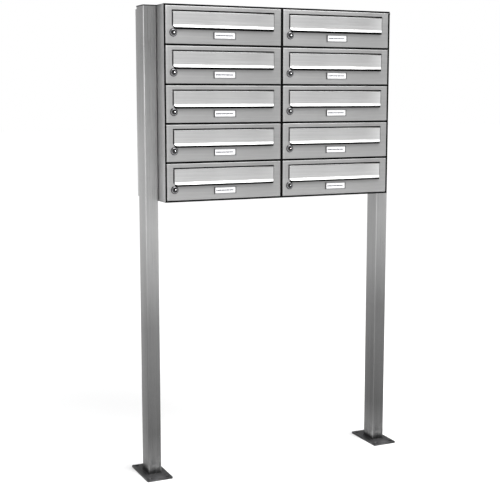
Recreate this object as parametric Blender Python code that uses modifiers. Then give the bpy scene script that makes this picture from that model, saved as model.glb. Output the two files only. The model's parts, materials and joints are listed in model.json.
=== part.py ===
"""Cluster mailbox unit: ten letter compartments in a shallow steel cabinet held between two posts.

Metres, +Z up. The doors face -Y and +X is to the right of someone who faces them. The origin is on
the floor, under the middle of the unit. Every sub-part is its own object, and each moving one has
its origin on its joint's axis: doors on the hinge rods, flaps on their top edge, locks on their
barrel. Doors, flaps, locks and nameplates are numbered row by row from the top left."""

import math

import bmesh
import bpy
from mathutils import Matrix, Vector

# Driving dimensions of the cabinet.
COLUMNS = 2
ROWS = 5
COLUMN_PITCH = 0.371
ROW_PITCH = 0.112
CABINET_DEPTH = 0.245
TOTAL_HEIGHT = 1.400
PANEL = 0.0015
SHEET = 0.0012
FIT_GAP = 0.0003
PANEL_PROUD = 0.0020
PANEL_FRONT = 0.0015

# Doors: shallow pans with folded edges, hung on a rod near their right edge.
ROW_LINE = 0.0048
MIDDLE_LINE = 0.0072
DOOR_RETURN = 0.010
DOOR_FOLD = 0.0014
HINGE_INSET = 0.008
HINGE_BACK = 0.004
ROD_RADIUS = 0.0015
ROD_HOLE = 0.0020

# Letter flaps: a rolled top edge, a flat face and a lip that curls outwards.
FLAP_WIDTH = 0.318
FLAP_SHEET = 0.0010
FLAP_AXIS_DOWN = 0.0200
FLAP_AXIS_BACK = 0.0020
CURL_RADIUS = 0.0015
CURL_TURN = math.radians(250)
LIP_DOWN = 0.0350
LIP_RADIUS = 0.008
LIP_TURN = math.radians(105)
SLOT_DOWN = 0.0146
SLOT_HEIGHT = 0.0459
SLOT_SIDE_GAP = 0.003
LUG_DEPTH = 0.0060
LUG_HEIGHT = 0.0080
FLAP_PIN_HOLE = 0.0007

# Cam locks, and the bars that their cams catch behind.
LOCK_DOWN = 0.078
LOCK_INSET = 0.0235
LOCK_RADIUS = 0.0112
LOCK_DOME = 0.0036
BARREL_RADIUS = 0.0092
BARREL_HOLE = 0.0096
CAM_BACK = 0.0163
CAM_THICK = 0.0020
CAM_WIDTH = 0.010
CAM_REACH = 0.020
STRIKE_BACK = 0.0120
STRIKE_WIDTH = 0.014

# Nameplate holders.
PLATE_DOWN = 0.084
PLATE_WIDTH = 0.071
PLATE_HEIGHT = 0.022
PLATE_THICK = 0.0020
PLATE_RIM = 0.0030
PLATE_POCKET = 0.0008

# Posts and their base plates.
POST_WIDTH = 0.040
POST_DEPTH = 0.060
POST_WALL = 0.0020
POST_CORNER = 0.0030
POST_SETBACK = 0.060
POST_GAP = 0.0005
CAP_THICK = 0.0020
CAP_PLUG = 0.012
BASE_WIDTH = 0.080
BASE_DEPTH = 0.150
BASE_THICK = 0.006
BASE_CORNER = 0.003
ANCHOR_RADIUS = 0.0055
ANCHOR_INSET = 0.013

# Worked out from the dimensions above.
LIP_REACH = CURL_RADIUS + LIP_RADIUS - FLAP_AXIS_BACK - (LIP_RADIUS + FLAP_SHEET / 2) * math.cos(LIP_TURN)
FRONT_Y = (LIP_REACH - CABINET_DEPTH) / 2
TOP_LINE = TOTAL_HEIGHT - PANEL_PROUD
BOTTOM_LINE = TOP_LINE - ROWS * ROW_PITCH
SIDE_LINE = COLUMNS * COLUMN_PITCH / 2
CABINET_WIDTH = 2 * (SIDE_LINE + PANEL_PROUD)
MIDDLE_Z = (TOP_LINE + BOTTOM_LINE) / 2
INNER_FACE = PANEL_PROUD - PANEL
PANEL_END = CABINET_DEPTH - SHEET - FIT_GAP
SHELF_END = PANEL_END - FIT_GAP
SHELF_HALF_WIDTH = SIDE_LINE + INNER_FACE - FIT_GAP
DOOR_WIDTH = COLUMN_PITCH - ROW_LINE / 2 - MIDDLE_LINE / 2
DOOR_HEIGHT = ROW_PITCH - ROW_LINE
DOOR_MIDDLE_X = HINGE_INSET - DOOR_WIDTH / 2
DOOR_FACE_Y = -HINGE_BACK
POST_X = CABINET_WIDTH / 2 + POST_GAP + POST_WIDTH / 2
POST_Y = POST_SETBACK + POST_DEPTH / 2


def hinge_x(column):
    """World x of the rod that carries a column of doors."""
    right_line = SIDE_LINE - (COLUMNS - 1 - column) * COLUMN_PITCH
    right_gap = ROW_LINE / 2 if column == COLUMNS - 1 else MIDDLE_LINE / 2
    return right_line - right_gap - HINGE_INSET


def strike_x(column):
    """World x of the middle of the bar at the left of a column."""
    left_line = -SIDE_LINE + column * COLUMN_PITCH
    left_face = left_line - INNER_FACE if column == 0 else left_line + PANEL / 2
    return left_face + FIT_GAP + STRIKE_WIDTH / 2


def below_row_top(distance):
    """Height above a door's middle of something that is `distance` below its row's top line."""
    return ROW_PITCH / 2 - distance


# ---------------------------------------------------------------- helpers


def clear_scene():
    for obj in list(bpy.data.objects):
        bpy.data.objects.remove(obj, do_unlink=True)


def new_collection(name):
    collection = bpy.data.collections.new(name)
    bpy.context.scene.collection.children.link(collection)
    return collection


def new_material(name, colour, roughness, metallic):
    material = bpy.data.materials.new(name)
    material.use_nodes = True
    shader = material.node_tree.nodes["Principled BSDF"]
    shader.inputs["Base Color"].default_value = (*colour, 1.0)
    shader.inputs["Roughness"].default_value = roughness
    shader.inputs["Metallic"].default_value = metallic
    return material


def new_object(name, mesh, material, location=(0, 0, 0), parent=None):
    obj = bpy.data.objects.new(name, mesh)
    PARTS.objects.link(obj)
    if material.name not in mesh.materials:
        mesh.materials.append(material)
    obj.location = location
    obj.parent = parent
    return obj


def mesh_from(bm, name):
    mesh = bpy.data.meshes.new(name)
    bmesh.ops.recalc_face_normals(bm, faces=bm.faces)
    bm.to_mesh(mesh)
    bm.free()
    return mesh


def box_bmesh(size, centre=(0, 0, 0)):
    bm = bmesh.new()
    place = Matrix.Translation(centre) @ Matrix.Diagonal((*size, 1.0))
    bmesh.ops.create_cube(bm, size=1.0, matrix=place)
    return bm


def box_mesh(name, low, high):
    """A box mesh between two corners."""
    low, high = Vector(low), Vector(high)
    return mesh_from(box_bmesh(high - low, (low + high) / 2), name)


def cylinder_mesh(name, radius, length, axis="Z", segments=24):
    bm = bmesh.new()
    turn = {"X": Matrix.Rotation(math.pi / 2, 4, "Y"), "Y": Matrix.Rotation(math.pi / 2, 4, "X")}
    bmesh.ops.create_cone(
        bm,
        cap_ends=True,
        segments=segments,
        radius1=radius,
        radius2=radius,
        depth=length,
        matrix=turn.get(axis, Matrix.Identity(4)),
    )
    return mesh_from(bm, name)


def smooth(obj, angle=35):
    obj.data.shade_smooth()
    obj.data.set_sharp_from_angle(angle=math.radians(angle))


def cutter(name, mesh, location, parent=None):
    """A helper solid that is kept out of the object itself."""
    obj = bpy.data.objects.new(name, mesh)
    CUTTERS.objects.link(obj)
    obj.location = location
    obj.parent = parent
    obj.hide_render = True
    obj.display_type = "WIRE"
    return obj


def combine(target, helper, operation="DIFFERENCE"):
    modifier = target.modifiers.new(helper.name, "BOOLEAN")
    modifier.operation = operation
    modifier.solver = "EXACT"
    modifier.object = helper


def bevel(obj, width, segments=2, angle=30):
    modifier = obj.modifiers.new("rounded_edges", "BEVEL")
    modifier.width = width
    modifier.segments = segments
    modifier.limit_method = "ANGLE"
    modifier.angle_limit = math.radians(angle)


def solidify(obj, thickness, offset):
    modifier = obj.modifiers.new("sheet_thickness", "SOLIDIFY")
    modifier.thickness = thickness
    modifier.offset = offset
    modifier.use_even_offset = True


def finished_mesh(obj, name):
    """The mesh that an object's modifiers make, for copies to share. The object is removed."""
    bpy.context.view_layer.update()
    graph = bpy.context.evaluated_depsgraph_get()
    mesh = bpy.data.meshes.new_from_object(obj.evaluated_get(graph))
    mesh.name = name
    bpy.data.objects.remove(obj, do_unlink=True)
    return mesh


# ---------------------------------------------------------------- posts


def rounded_tube_shell(width, depth, height):
    """The open outer surface of an upright tube, with its long edges still square."""
    bm = box_bmesh((width, depth, height))
    ends = [face for face in bm.faces if abs(face.normal.z) > 0.5]
    bmesh.ops.delete(bm, geom=ends, context="FACES_ONLY")
    return mesh_from(bm, "tube_shell")


def slab_mesh(name, width, depth, thickness, corner):
    """A flat plate whose four upright edges are rounded."""
    bm = box_bmesh((width, depth, thickness))
    upright = [edge for edge in bm.edges if edge.verts[0].co.xy == edge.verts[1].co.xy]
    bmesh.ops.bevel(bm, geom=upright, offset=corner, segments=3, profile=0.5, affect="EDGES")
    return mesh_from(bm, name)


def build_post(side, x):
    foot = BASE_THICK + FIT_GAP
    top = TOTAL_HEIGHT - CAP_THICK - FIT_GAP
    post = new_object(
        f"post_{side}",
        rounded_tube_shell(POST_WIDTH, POST_DEPTH, top - foot),
        STEEL,
        (x, POST_Y, (top + foot) / 2),
        DATUM,
    )
    bevel(post, POST_CORNER, segments=3)
    solidify(post, POST_WALL, -1)


def build_post_cap(side, x):
    inner_width = POST_WIDTH - 2 * POST_WALL - 2 * FIT_GAP
    inner_depth = POST_DEPTH - 2 * POST_WALL - 2 * FIT_GAP
    cap = new_object(
        f"post_cap_{side}",
        slab_mesh(f"post_cap_{side}", POST_WIDTH, POST_DEPTH, CAP_THICK, POST_CORNER),
        BLACK_PLASTIC,
        (x, POST_Y, TOTAL_HEIGHT - CAP_THICK / 2),
        DATUM,
    )
    plug_height = CAP_PLUG + CAP_THICK / 2
    plug = cutter(
        f"cap_plug_{side}",
        slab_mesh(f"cap_plug_{side}", inner_width, inner_depth, plug_height, POST_CORNER),
        (0, 0, -plug_height / 2),
        cap,
    )
    combine(cap, plug, "UNION")


def build_base_plate(side, x):
    plate = new_object(
        f"base_plate_{side}",
        slab_mesh(f"base_plate_{side}", BASE_WIDTH, BASE_DEPTH, BASE_THICK, BASE_CORNER),
        DARK_STEEL,
        (x, POST_Y, BASE_THICK / 2),
        DATUM,
    )
    hole = cylinder_mesh(f"anchor_hole_{side}", ANCHOR_RADIUS, 2 * BASE_THICK, segments=20)
    for across in (-1, 1):
        for along in (-1, 1):
            place = (
                across * (BASE_WIDTH / 2 - ANCHOR_INSET),
                along * (BASE_DEPTH / 2 - ANCHOR_INSET),
                0,
            )
            name = f"anchor_hole_{side}_{'rear' if along > 0 else 'front'}_{'right' if across > 0 else 'left'}"
            combine(plate, cutter(name, hole, place, plate))


# ---------------------------------------------------------------- cabinet shell


def build_panel(name, low, high):
    return new_object(name, box_mesh(name, low, high), STEEL, parent=DATUM)


def build_shell():
    half_width = CABINET_WIDTH / 2
    half_inner = SIDE_LINE + INNER_FACE
    top = TOP_LINE + PANEL_PROUD
    bottom = BOTTOM_LINE - PANEL_PROUD
    side_top = top - PANEL - FIT_GAP
    side_bottom = bottom + PANEL + FIT_GAP
    build_panel("top_panel", (-half_width, PANEL_FRONT, top - PANEL), (half_width, PANEL_END, top))
    build_panel(
        "bottom_panel", (-half_width, PANEL_FRONT, bottom), (half_width, PANEL_END, bottom + PANEL)
    )
    build_panel(
        "side_panel_left", (-half_width, PANEL_FRONT, side_bottom), (-half_inner, PANEL_END, side_top)
    )
    build_panel(
        "side_panel_right", (half_inner, PANEL_FRONT, side_bottom), (half_width, PANEL_END, side_top)
    )
    build_panel(
        "back_panel", (-half_width, CABINET_DEPTH - SHEET, bottom), (half_width, CABINET_DEPTH, top)
    )


# ---------------------------------------------------------------- shelves and divider


def inner_heights():
    """Lowest and highest z of an upright piece that stands between the top and bottom panels."""
    clearance = FIT_GAP - INNER_FACE
    return BOTTOM_LINE + clearance, TOP_LINE - clearance


def build_divider():
    low, high = inner_heights()
    divider = build_panel(
        "centre_divider", (-PANEL / 2, PANEL_FRONT, low), (PANEL / 2, SHELF_END, high)
    )
    half_slot = CABINET_DEPTH / 4
    slot = box_mesh(
        "shelf_slot",
        (-PANEL, -half_slot, -SHEET / 2 - FIT_GAP),
        (PANEL, half_slot, SHEET / 2 + FIT_GAP),
    )
    for row in range(1, ROWS):
        place = (0, half_slot, TOP_LINE - row * ROW_PITCH)
        combine(divider, cutter(f"divider_slot_{row}", slot, place, DATUM))


def shelf_mesh():
    """A full-width shelf with its half slot for the divider, its rod holes and its strike notches."""
    shelf = new_object(
        "shelf_pattern",
        box_mesh(
            "shelf_pattern",
            (-SHELF_HALF_WIDTH, PANEL_FRONT, -SHEET / 2),
            (SHELF_HALF_WIDTH, SHELF_END, SHEET / 2),
        ),
        STEEL,
    )
    half_depth = CABINET_DEPTH / 2
    divider_slot = box_mesh(
        "divider_slot",
        (-PANEL / 2 - FIT_GAP, half_depth - FIT_GAP, -SHEET),
        (PANEL / 2 + FIT_GAP, CABINET_DEPTH, SHEET),
    )
    combine(shelf, cutter("shelf_divider_slot", divider_slot, (0, 0, 0)))
    rod_hole = cylinder_mesh("rod_hole", ROD_HOLE, 4 * SHEET, segments=16)
    half_notch = STRIKE_WIDTH / 2 + FIT_GAP
    strike_notch = box_mesh(
        "strike_notch",
        (-half_notch, STRIKE_BACK - FIT_GAP, -SHEET),
        (half_notch, STRIKE_BACK + SHEET + FIT_GAP, SHEET),
    )
    for column in range(COLUMNS):
        combine(shelf, cutter(f"shelf_rod_hole_{column}", rod_hole, (hinge_x(column), HINGE_BACK, 0)))
        combine(shelf, cutter(f"shelf_strike_notch_{column}", strike_notch, (strike_x(column), 0, 0)))
    return finished_mesh(shelf, "shelf")


def build_shelves():
    mesh = shelf_mesh()
    for row in range(1, ROWS):
        new_object(f"shelf_{row}", mesh, STEEL, (0, 0, TOP_LINE - row * ROW_PITCH), DATUM)


def build_rods_and_strikes():
    low, high = inner_heights()
    length = high - low
    for column, side in enumerate(("left", "right")):
        rod = new_object(
            f"hinge_rod_{side}",
            cylinder_mesh(f"hinge_rod_{side}", ROD_RADIUS, length, segments=16),
            STEEL,
            (hinge_x(column), HINGE_BACK, MIDDLE_Z),
            DATUM,
        )
        smooth(rod)
        half = Vector((STRIKE_WIDTH / 2, SHEET / 2, length / 2))
        place = (strike_x(column), STRIKE_BACK + SHEET / 2, MIDDLE_Z)
        new_object(f"strike_bar_{side}", box_mesh(f"strike_bar_{side}", -half, half), STEEL, place, DATUM)


# ---------------------------------------------------------------- doors


def door_mesh():
    """A door pan around its hinge axis, cut for the letter slot, the lock and the hinge rod."""
    centre = Vector((DOOR_MIDDLE_X, DOOR_FACE_Y + DOOR_RETURN / 2, 0))
    bm = box_bmesh((DOOR_WIDTH, DOOR_RETURN, DOOR_HEIGHT), centre)
    rear = [face for face in bm.faces if face.calc_center_median().y > centre.y + DOOR_RETURN / 4]
    bmesh.ops.delete(bm, geom=rear, context="FACES_ONLY")
    door = new_object("door_pattern", mesh_from(bm, "door_pattern"), STEEL)
    bevel(door, DOOR_FOLD)
    solidify(door, SHEET, -1)

    half_slot = FLAP_WIDTH / 2 + SLOT_SIDE_GAP
    slot_top = below_row_top(SLOT_DOWN)
    slot = box_mesh(
        "letter_slot",
        (DOOR_MIDDLE_X - half_slot, DOOR_FACE_Y - SHEET, slot_top - SLOT_HEIGHT),
        (DOOR_MIDDLE_X + half_slot, DOOR_FACE_Y + 2 * SHEET, slot_top),
    )
    combine(door, cutter("door_letter_slot", slot, (0, 0, 0)))
    lock_hole = cylinder_mesh("lock_hole", BARREL_HOLE, 4 * SHEET, "Y")
    lock_place = (HINGE_INSET - DOOR_WIDTH + LOCK_INSET, DOOR_FACE_Y, below_row_top(LOCK_DOWN))
    combine(door, cutter("door_lock_hole", lock_hole, lock_place))
    rod_hole = cylinder_mesh("door_rod_hole", ROD_HOLE, 2 * DOOR_HEIGHT, segments=16)
    combine(door, cutter("door_rod_hole", rod_hole, (0, 0, 0)))

    axis_y = DOOR_FACE_Y + FLAP_AXIS_BACK
    axis_z = below_row_top(FLAP_AXIS_DOWN)
    lug_x = half_slot + FIT_GAP + SHEET / 2
    lug = box_mesh(
        "flap_lug",
        (-SHEET / 2, DOOR_FACE_Y + SHEET / 2, axis_z - LUG_HEIGHT / 2),
        (SHEET / 2, DOOR_FACE_Y + SHEET / 2 + LUG_DEPTH, axis_z + LUG_HEIGHT / 2),
    )
    pin_hole = cylinder_mesh("flap_pin_hole", FLAP_PIN_HOLE, 3 * SHEET, "X", segments=12)
    for side, name in ((-1, "left"), (1, "right")):
        x = DOOR_MIDDLE_X + side * lug_x
        combine(door, cutter(f"flap_lug_{name}", lug, (x, 0, 0)), "UNION")
        combine(door, cutter(f"flap_pin_hole_{name}", pin_hole, (x, axis_y, axis_z)))
    return finished_mesh(door, "door")


def arc(centre_y, centre_z, radius, start, turn, steps):
    """Points on an arc, at angles measured from -Y towards -Z."""
    angles = [start + turn * step / steps for step in range(steps + 1)]
    return [
        Vector((0, centre_y - radius * math.cos(angle), centre_z - radius * math.sin(angle)))
        for angle in angles
    ]


def flap_mesh():
    """A flap around its own axis: rolled edge, flat face, then the lip that turns outwards."""
    curl = arc(0, 0, CURL_RADIUS, -CURL_TURN, CURL_TURN, 10)
    lip_centre_y = -CURL_RADIUS - LIP_RADIUS
    lip = [
        Vector((0, lip_centre_y + LIP_RADIUS * math.cos(angle), -LIP_DOWN - LIP_RADIUS * math.sin(angle)))
        for angle in [LIP_TURN * step / 7 for step in range(8)]
    ]
    bm = bmesh.new()
    verts = [bm.verts.new(point - Vector((FLAP_WIDTH / 2, 0, 0))) for point in curl + lip]
    edges = [bm.edges.new(pair) for pair in zip(verts, verts[1:])]
    swept = bmesh.ops.extrude_edge_only(bm, edges=edges)
    moved = [item for item in swept["geom"] if isinstance(item, bmesh.types.BMVert)]
    bmesh.ops.translate(bm, verts=moved, vec=(FLAP_WIDTH, 0, 0))
    flap = new_object("flap_pattern", mesh_from(bm, "flap_pattern"), STEEL)
    solidify(flap, FLAP_SHEET, 0)
    mesh = finished_mesh(flap, "flap")
    mesh.shade_smooth()
    mesh.set_sharp_from_angle(angle=math.radians(40))
    return mesh


# ---------------------------------------------------------------- locks and nameplates


def lock_mesh():
    """A domed lock face and barrel turned about the lock's axis, with the cam hanging down behind."""
    dome_angles = [math.pi / 2 * step / 5 for step in range(6)]
    profile = [(LOCK_RADIUS * math.sin(angle), LOCK_DOME * math.cos(angle)) for angle in dome_angles]
    profile[-1] = (LOCK_RADIUS, LOCK_DOME / 6)
    profile += [
        (LOCK_RADIUS, FIT_GAP),
        (BARREL_RADIUS, FIT_GAP),
        (BARREL_RADIUS, -CAM_BACK - CAM_THICK / 2),
        (0, -CAM_BACK - CAM_THICK / 2),
    ]
    bm = bmesh.new()
    verts = [bm.verts.new((radius, 0, height)) for radius, height in profile]
    for pair in zip(verts, verts[1:]):
        bm.edges.new(pair)
    mesh = bpy.data.meshes.new("lock_pattern")
    bm.to_mesh(mesh)
    bm.free()
    lock = new_object("lock_pattern", mesh, CHROME)
    screw = lock.modifiers.new("turned", "SCREW")
    screw.steps = 20
    screw.render_steps = 20
    screw.use_merge_vertices = True
    screw.merge_threshold = 0.00001
    half_cam = CAM_WIDTH / 2
    cam = slab_mesh("lock_cam", CAM_WIDTH, CAM_REACH + half_cam, CAM_THICK, half_cam * 0.8)
    cam_place = (0, (half_cam - CAM_REACH) / 2, -CAM_BACK - CAM_THICK / 2)
    combine(lock, cutter("lock_cam", cam, cam_place), "UNION")
    mesh = finished_mesh(lock, "lock")
    mesh.transform(Matrix.Rotation(math.pi / 2, 4, "X"))
    mesh.shade_smooth()
    mesh.set_sharp_from_angle(angle=math.radians(35))
    return mesh


def nameplate_mesh():
    """A nameplate holder with a shallow pocket for its card, centred on its back face."""
    plate = new_object(
        "nameplate_pattern",
        box_mesh(
            "nameplate_pattern",
            (-PLATE_WIDTH / 2, -PLATE_THICK, -PLATE_HEIGHT / 2),
            (PLATE_WIDTH / 2, 0, PLATE_HEIGHT / 2),
        ),
        BLACK_PLASTIC,
    )
    half = Vector((PLATE_WIDTH / 2 - PLATE_RIM, PLATE_POCKET, PLATE_HEIGHT / 2 - PLATE_RIM))
    pocket = cutter("nameplate_pocket", box_mesh("nameplate_pocket", -half, half), (0, -PLATE_THICK, 0))
    combine(plate, pocket)
    return finished_mesh(plate, "nameplate")


def build_compartments():
    """One door with its flap, lock and nameplate for each compartment."""
    door, flap, lock, nameplate = door_mesh(), flap_mesh(), lock_mesh(), nameplate_mesh()
    flap_place = (DOOR_MIDDLE_X, DOOR_FACE_Y + FLAP_AXIS_BACK, below_row_top(FLAP_AXIS_DOWN))
    lock_place = (HINGE_INSET - DOOR_WIDTH + LOCK_INSET, DOOR_FACE_Y, below_row_top(LOCK_DOWN))
    nameplate_place = (DOOR_MIDDLE_X, DOOR_FACE_Y - FIT_GAP, below_row_top(PLATE_DOWN))
    for row in range(ROWS):
        for column in range(COLUMNS):
            number = f"{row * COLUMNS + column + 1:02d}"
            place = (hinge_x(column), HINGE_BACK, TOP_LINE - (row + 0.5) * ROW_PITCH)
            hung = new_object(f"door_{number}", door, STEEL, place, DATUM)
            new_object(f"flap_{number}", flap, STEEL, flap_place, hung)
            new_object(f"lock_{number}", lock, CHROME, lock_place, hung)
            new_object(f"nameplate_{number}", nameplate, BLACK_PLASTIC, nameplate_place, hung)


clear_scene()
PARTS = new_collection("cluster_mailbox_unit")
CUTTERS = new_collection("cutters")
STEEL = new_material("brushed_steel", (0.48, 0.48, 0.48), 0.36, 1.0)
DARK_STEEL = new_material("dark_steel", (0.09, 0.09, 0.09), 0.45, 0.8)
BLACK_PLASTIC = new_material("black_plastic", (0.03, 0.03, 0.03), 0.5, 0.0)
CHROME = new_material("chrome", (0.75, 0.75, 0.76), 0.12, 1.0)
DATUM = bpy.data.objects.new("front_face_datum", None)
DATUM.location = (0, FRONT_Y, 0)
PARTS.objects.link(DATUM)

for side_name, side_sign in (("left", -1), ("right", 1)):
    build_base_plate(side_name, side_sign * POST_X)
    build_post(side_name, side_sign * POST_X)
    build_post_cap(side_name, side_sign * POST_X)
build_shell()
build_divider()
build_shelves()
build_rods_and_strikes()
build_compartments()
bpy.context.view_layer.update()
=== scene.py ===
"""Looks of the cluster mailbox unit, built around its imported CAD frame.

Metres, +Z up, the doors face -Y. Pieces that repeat for each compartment share one mesh, which is made
around the piece's own reference point: a door's face middle, a flap's axis, a lock's axis."""

import json
import math

import bmesh
import bpy
from mathutils import Matrix, Vector


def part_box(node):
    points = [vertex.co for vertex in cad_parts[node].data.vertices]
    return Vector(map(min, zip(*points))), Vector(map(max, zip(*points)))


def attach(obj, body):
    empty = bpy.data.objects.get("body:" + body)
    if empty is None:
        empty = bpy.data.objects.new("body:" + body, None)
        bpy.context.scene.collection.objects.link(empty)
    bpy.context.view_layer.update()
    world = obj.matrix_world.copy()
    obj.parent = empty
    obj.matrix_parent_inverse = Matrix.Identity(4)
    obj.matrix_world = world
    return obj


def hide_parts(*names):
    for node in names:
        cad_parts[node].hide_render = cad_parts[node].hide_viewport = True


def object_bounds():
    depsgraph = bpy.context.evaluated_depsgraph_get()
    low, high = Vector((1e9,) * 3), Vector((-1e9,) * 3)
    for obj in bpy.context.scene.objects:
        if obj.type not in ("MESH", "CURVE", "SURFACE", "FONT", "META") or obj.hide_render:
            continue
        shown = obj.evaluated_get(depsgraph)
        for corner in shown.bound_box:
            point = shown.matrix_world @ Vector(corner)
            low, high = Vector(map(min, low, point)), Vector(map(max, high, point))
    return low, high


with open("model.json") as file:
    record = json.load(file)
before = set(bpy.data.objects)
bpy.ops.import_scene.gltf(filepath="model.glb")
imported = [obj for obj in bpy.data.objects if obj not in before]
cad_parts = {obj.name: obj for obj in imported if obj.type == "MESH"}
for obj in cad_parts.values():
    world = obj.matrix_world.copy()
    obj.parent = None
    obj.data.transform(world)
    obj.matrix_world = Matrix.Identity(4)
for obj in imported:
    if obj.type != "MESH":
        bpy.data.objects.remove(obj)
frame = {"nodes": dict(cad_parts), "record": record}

MM = 0.001
CABINET = "cabinet"
NUMBERS = [f"{number:02d}" for number in range(1, 11)]

# Camera, from the viewpoint of someone standing in front of the unit and to its left.
CAMERA_PLACE = (-1.438, -2.986, 1.144)
CAMERA_YAW = math.radians(24.92)
CAMERA_PITCH = math.radians(7.77)
CAMERA_LENS = 76.5
CAMERA_SHIFT = -0.02

# Doors. The slot reaches further past the flap at the left than at the right.
SHEET = 1.2 * MM
DOOR_FOLD = 2.0 * MM
DOOR_RETURN = 10.0 * MM
DOOR_HEM = 6.0 * MM
SLOT_SIDE_GAP = 3.0 * MM
SLOT_ABOVE_FLAP = 3.8 * MM
SLOT_HEIGHT = 45.9 * MM
SLOT_CORNER = 1.5 * MM
SLOT_RIGHT_FILL = 1.8 * MM
SLOT_LEFT_EXTRA = 1.2 * MM
LUG_GAP = 0.3 * MM
LUG_DEPTH = 6.0 * MM
LUG_HEIGHT = 8.0 * MM
LUG_CORNER = 1.5 * MM
LOCK_HOLE = 9.6 * MM
ROD_HOLE = 2.0 * MM

# Flaps.
FLAP_SHEET = 1.0 * MM
CURL_RADIUS = 1.5 * MM
CURL_TURN = math.radians(250)
LIP_DOWN = 35.0 * MM
LIP_RADIUS = 8.0 * MM
LIP_TURN = math.radians(105)
LIP_CORNER = 6.0 * MM
PIN_RADIUS = 0.6 * MM
# The flap's buffer is made tall so that its black face also stands in for the shadow under the lip.
SHADOW_BUFFER_HEIGHT = 7.6 * MM
BUFFER_THICK = 1.2 * MM
# The painted shadow under each flap's lip on its door: its height, curve and depth.
LIP_SHADOW_HEIGHT = 24.0 * MM
LIP_SHADOW_CURVE = 2.2
LIP_SHADOW_DEPTH = 0.62

# Locks.
LOCK_RADIUS = 10.6 * MM
BARREL_RADIUS = 9.2 * MM
BARREL_LENGTH = 14.0 * MM
PLUG_RADIUS = 6.2 * MM
CAM_BACK = 16.3 * MM
CAM_THICK = 2.0 * MM
CAM_WIDTH = 10.0 * MM
CAM_REACH = 20.0 * MM
CAM_CORNER = 2.0 * MM

# Nameplates.
NAMEPLATE_RIM = 2.0 * MM
POCKET_DEPTH = 1.3 * MM
CARD_THICK = 0.4 * MM
CARD_GAP = 0.1 * MM
WINDOW_THICK = 0.6 * MM
PRINT_START = 5.5 * MM
PRINT_SPACE = 0.7 * MM

# Posts.
POST_WALL = 2.0 * MM
POST_CORNER = 4.0 * MM
# How much lighter the painted highlight makes a post's rounded corners.
CORNER_HIGHLIGHT = 1.35
CAP_THICK = 3.2 * MM
CAP_OVERHANG = 0.8 * MM
CAP_PLUG = 12.0 * MM
BEAD_RADIUS = 2.4 * MM
BEAD_SIDES = 10
BEAD_STEP = 1.0 * MM
ANCHOR_INSET = 13.0 * MM
ANCHOR_RADIUS = 5.5 * MM
ANCHOR_CHAMFER = 0.7 * MM
# Where a painted reflection of the post lightens its base plate, and how far it reaches.
PLATE_REFLECTION_PLACE = (-14 * MM, -54 * MM, 8 * MM)
PLATE_REFLECTION_RADIUS = 38 * MM
SCUFF_HEIGHTS = (28 * MM, 70 * MM)

# Casing, its edge trims and its fasteners.
CASE_SHEET = 1.5 * MM
TRIM_INSIDE = 1.9 * MM
TRIM_OUTSIDE = 0.1 * MM
TRIM_LOOSE = 0.05 * MM
ROW_TRIM_HALF = 2.2 * MM
MIDDLE_TRIM_HALF = 3.4 * MM
RIVET_INSET = 9.0 * MM
RIVET_ROWS = 6
RIVET_COLUMNS = 7


cad_low, cad_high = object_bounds()
joints = {joint["name"]: joint for joint in frame["record"]["behaviour"]["joints"]}


def node_box(node):
    low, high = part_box(node)
    return Vector(low), Vector(high)


def joint_place(name):
    return Vector(joints[name]["pos_m"])


DOOR_LOW, DOOR_HIGH = node_box("door_01")
DOOR_SIZE = DOOR_HIGH - DOOR_LOW
FACE_Y = DOOR_LOW.y
FLAP_LOW, FLAP_HIGH = node_box("flap_01")
FLAP_WIDTH = FLAP_HIGH.x - FLAP_LOW.x
HALF_SLOT = FLAP_WIDTH / 2 + SLOT_SIDE_GAP
POST_HALF = (node_box("post_left")[1] - node_box("post_left")[0]) / 2


# ---- materials


def new_principled(name, **sockets):
    material = bpy.data.materials.new(name)
    material.use_nodes = True
    shader = material.node_tree.nodes["Principled BSDF"]
    for socket, value in sockets.items():
        shader.inputs[socket.replace("_", " ")].default_value = value
    return material, material.node_tree, shader


def noise(tree, scale, detail=4.0, roughness=0.6, distortion=0.0):
    """A noise value whose frequency differs along the piece's own axes, in waves per metre."""
    coordinates = tree.nodes.new("ShaderNodeTexCoord")
    mapping = tree.nodes.new("ShaderNodeMapping")
    mapping.inputs["Scale"].default_value = scale
    texture = tree.nodes.new("ShaderNodeTexNoise")
    texture.inputs["Scale"].default_value = 1.0
    texture.inputs["Detail"].default_value = detail
    texture.inputs["Roughness"].default_value = roughness
    texture.inputs["Distortion"].default_value = distortion
    tree.links.new(coordinates.outputs["Object"], mapping.inputs["Vector"])
    tree.links.new(mapping.outputs["Vector"], texture.inputs["Vector"])
    return texture.outputs["Fac"]


def remap(tree, value, low, high, from_low=0.3, from_high=0.7):
    node = tree.nodes.new("ShaderNodeMapRange")
    node.inputs["From Min"].default_value = from_low
    node.inputs["From Max"].default_value = from_high
    node.inputs["To Min"].default_value = low
    node.inputs["To Max"].default_value = high
    tree.links.new(value, node.inputs["Value"])
    return node.outputs["Result"]


def calculate(tree, operation, first, second):
    node = tree.nodes.new("ShaderNodeMath")
    node.operation = operation
    for socket, value in zip(node.inputs, (first, second)):
        if isinstance(value, (int, float)):
            socket.default_value = value
        else:
            tree.links.new(value, socket)
    return node.outputs["Value"]


def product(tree, first, *others):
    for other in others:
        first = calculate(tree, "MULTIPLY", first, other)
    return first


def paint(tree, shader, colour, factor, roughness):
    """Gives the shader a colour times a varying value, and a varying roughness unless that is None."""
    node = tree.nodes.new("ShaderNodeVectorMath")
    node.operation = "SCALE"
    node.inputs[0].default_value = colour
    tree.links.new(factor, node.inputs["Scale"])
    tree.links.new(node.outputs["Vector"], shader.inputs["Base Color"])
    if roughness:
        tree.links.new(roughness, shader.inputs["Roughness"])


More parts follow.
